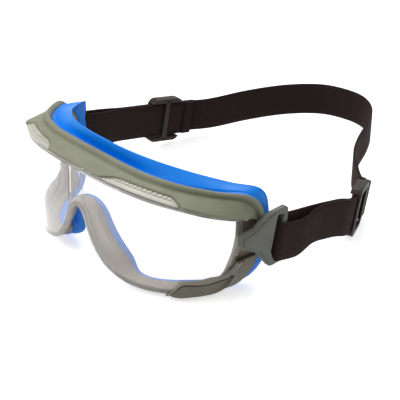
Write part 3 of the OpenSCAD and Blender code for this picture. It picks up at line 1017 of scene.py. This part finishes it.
def make_webbing():
    """One length of webbing: free end, clip, round the head, clip, free end."""
    def out_to_in(side, outer_end, inner_end):
        line = [layer_at(side, 1, s) for s in steps(outer_end, 0, 70)]
        line += [fold_at(side, d) for d in range(80, -81, -10)]
        line += [layer_at(side, -1, s) for s in steps(0, inner_end, 70)]
        return line

    left = out_to_in(LEFT, tail_end(LEFT), seam(LEFT))
    right = out_to_in(RIGHT, seam(RIGHT), tail_end(RIGHT))
    centres, ups = band_line()
    ups = [strap_up(LEFT)] * len(left) + ups + [strap_up(RIGHT)] * len(right)
    points, faces, cloth = ribbon(left + centres + right, ups, STRAP_W, STRAP_T)
    for side in (LEFT, RIGHT):
        part = TAIL_SIDE[side]
        line = [layer_at(side, part, s, STRAP_T * 0.95)
                for s in steps(tail_end(side) - 0.3 - HEM_L, tail_end(side) - 0.3, 4)]
        hem_points, hem_faces, hem_cloth = ribbon(line, [strap_up(side)] * len(line),
                                                  STRAP_W - 0.4, STRAP_T)
        points, faces = combined((points, faces), (hem_points, hem_faces))
        cloth += hem_cloth
    piece = new_piece("webbing", points, faces, "strap", "webbing", WEBBING_BROWN)
    layer = piece.data.uv_layers.new(name="cloth_mm")
    for loop in piece.data.loops:
        layer.data[loop.index].uv = cloth[loop.vertex_index]
    fix_normals(piece)
    soften(piece, 50)
    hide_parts("strap_loop_left", "strap_loop_right", "strap_band")


def make_stitches(side):
    """Two rows of raised stitches across the hem of a free end."""
    part = TAIL_SIDE[side]
    name = SIDE_NAME[side]
    x, y, a = line_at(side, tail_end(side) - HEM_L / 2)
    heading = vec(math.cos(a), math.sin(a), 0)
    along = vec(-math.sin(a), math.cos(a), 0)
    parts = []
    for row in (-2, 2):
        for i in range(STITCHES):
            z = -STRAP_W / 2 + 1.9 + i * STITCH_PITCH
            d = part * (LAYER + STRAP_T * 1.45)
            points, faces = block(vec(0, 0, 0), (0.42, 0.5, 1.6), 0.18)
            middle = vec(x, y, z) + heading * d + along * row
            parts.append(([from_strap(side, middle + heading * p[0] + along * p[1]
                                      + vec(0, 0, p[2])) for p in points], faces))
    piece = new_piece("stitches_" + name, *combined(*parts), "strap", "thread", THREAD_BLACK)
    fix_normals(piece)
    soften(piece)
    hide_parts("hem_stitch_" + name)


def make_slider(side):
    """Three-bar slider: a ring with round corners outside, its rails, and one wide bar inside."""
    bar_t, end_bar, middle_bar, rail, corner_r = 1.5, 3.5, 4, 3.2, 5
    inner = STRAP_W + 0.8
    outer = inner + 2 * rail
    reach = LAYER + STRAP_T / 2 + 0.3
    ring = [round_rect(SLIDER_L, outer, corner_r), round_rect(SLIDER_L - 2 * end_bar, inner, 1.2)]
    parts = [plate(ring, reach, bar_t, 0.5)]
    for z in (-1, 1):
        rail_end = [(y, h) for y, h in ring[0] if z * h >= inner / 2 - 0.01]
        parts.append(plate([rail_end], -reach - bar_t, 2 * reach + bar_t + 0.4, 0.5))
    parts.append(block(vec(-reach - bar_t / 2, 0, 0), (bar_t, middle_bar, outer - 1.2), 0.5))
    x, y, a = line_at(side, SLIDER_POS[side])
    heading = vec(math.cos(a), math.sin(a), 0)
    along = vec(-math.sin(a), math.cos(a), 0)
    points, faces = combined(*parts)
    points = [from_strap(side, vec(x, y, p[2]) + heading * p[0] + along * p[1]) for p in points]
    name = SIDE_NAME[side]
    piece = new_piece("slider_bars_" + name, points, faces, "slider_" + name, "slider",
                      SLIDER_BROWN)
    fix_normals(piece)
    soften(piece)
    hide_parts("strap_slider_" + name)


make_lens()
make_frame()
make_seal()
make_brow()
make_webbing()
for each in (LEFT, RIGHT):
    make_trim(each)
    make_grille(each)
    make_clip(each)
    make_stitches(each)
    make_slider(each)
    pin = frame["nodes"]["clip_pin_" + SIDE_NAME[each]]
    pin.data.materials.clear()
    pin.data.materials.append(PIN_BLACK)


# ---------- floor, light and camera ----------

WALL_LIGHT = 0.5
BAND_LIGHT = 0.12
CEILING_LIGHT = 1.0
FLOOR_HALF = 6                          # metres
FLOOR_Z = -0.0002
LAMPS_AIM = Vector((0, -0.03, 0.03))


def make_floor():
    """Large white floor with a faint glow of its own."""
    corners = [(x * FLOOR_HALF, y * FLOOR_HALF, FLOOR_Z)
               for x, y in ((-1, -1), (1, -1), (1, 1), (-1, 1))]
    mesh = bpy.data.meshes.new("floor")
    mesh.from_pydata(corners, [], [(0, 1, 2, 3)])
    material, tree, shader = shader_tree("floor_white")
    tree.links.new(add_mix(tree, add_noise(tree, 400), (0.86, 0.86, 0.86), (0.85, 0.85, 0.85)),
                   shader.inputs["Base Color"])
    shader.inputs["Roughness"].default_value = 0.9
    shader.inputs["Emission Color"].default_value = (1, 1, 1, 1)
    shader.inputs["Emission Strength"].default_value = 0.6
    mesh.materials.append(material)
    floor = bpy.data.objects.new("floor", mesh)
    bpy.context.scene.collection.objects.link(floor)
    floor.visible_diffuse = False       # so that its glow doesn't light the undersides


def make_lamp(name, place, watts, size):
    """Square soft box that looks at the goggles."""
    data = bpy.data.lights.new(name, "AREA")
    data.energy = watts
    data.size = size
    lamp = bpy.data.objects.new(name, data)
    lamp.location = place
    lamp.rotation_euler = (LAMPS_AIM - Vector(place)).to_track_quat("-Z", "Y").to_euler()
    bpy.context.scene.collection.objects.link(lamp)


def make_world():
    """Studio with grey walls, a darker band above them and a bright ceiling."""
    world = bpy.data.worlds.new("studio")
    world.use_nodes = True
    tree = world.node_tree
    coords = tree.nodes.new("ShaderNodeTexCoord")
    axes = tree.nodes.new("ShaderNodeSeparateXYZ")
    tree.links.new(coords.outputs["Generated"], axes.inputs["Vector"])
    shade = tree.nodes.new("ShaderNodeValToRGB")
    tree.links.new(axes.outputs["Z"], shade.inputs["Fac"])
    levels = [(0, WALL_LIGHT), (0.18, WALL_LIGHT), (0.3, BAND_LIGHT), (0.55, BAND_LIGHT),
              (0.75, CEILING_LIGHT)]
    stops = shade.color_ramp.elements
    while len(stops) < len(levels):
        stops.new(0.5)
    for stop, (height, light) in zip(stops, levels):
        stop.position = height
        stop.color = (light, light, light, 1)
    tree.links.new(shade.outputs["Color"], tree.nodes["Background"].inputs["Color"])
    tree.nodes["Background"].inputs["Strength"].default_value = 1
    bpy.context.scene.world = world


def make_camera():
    """The photo's viewpoint: in front, to the wearer's left and above."""
    data = bpy.data.cameras.new("camera")
    data.lens = 100.66
    data.sensor_width = 36
    data.clip_start = 0.01
    camera = bpy.data.objects.new("camera", data)
    camera.location = (0.4356, -0.44175, 0.354)
    camera.rotation_euler = (math.radians(60), 0, math.radians(46.72))
    bpy.context.scene.collection.objects.link(camera)
    bpy.context.scene.camera = camera


make_floor()
make_world()
make_lamp("key", (-0.7, -0.8, 0.9), 7, 0.6)
make_lamp("rim", (-0.6, 0.9, 0.9), 5, 0.6)
make_camera()
bpy.context.scene.view_settings.view_transform = "Standard"
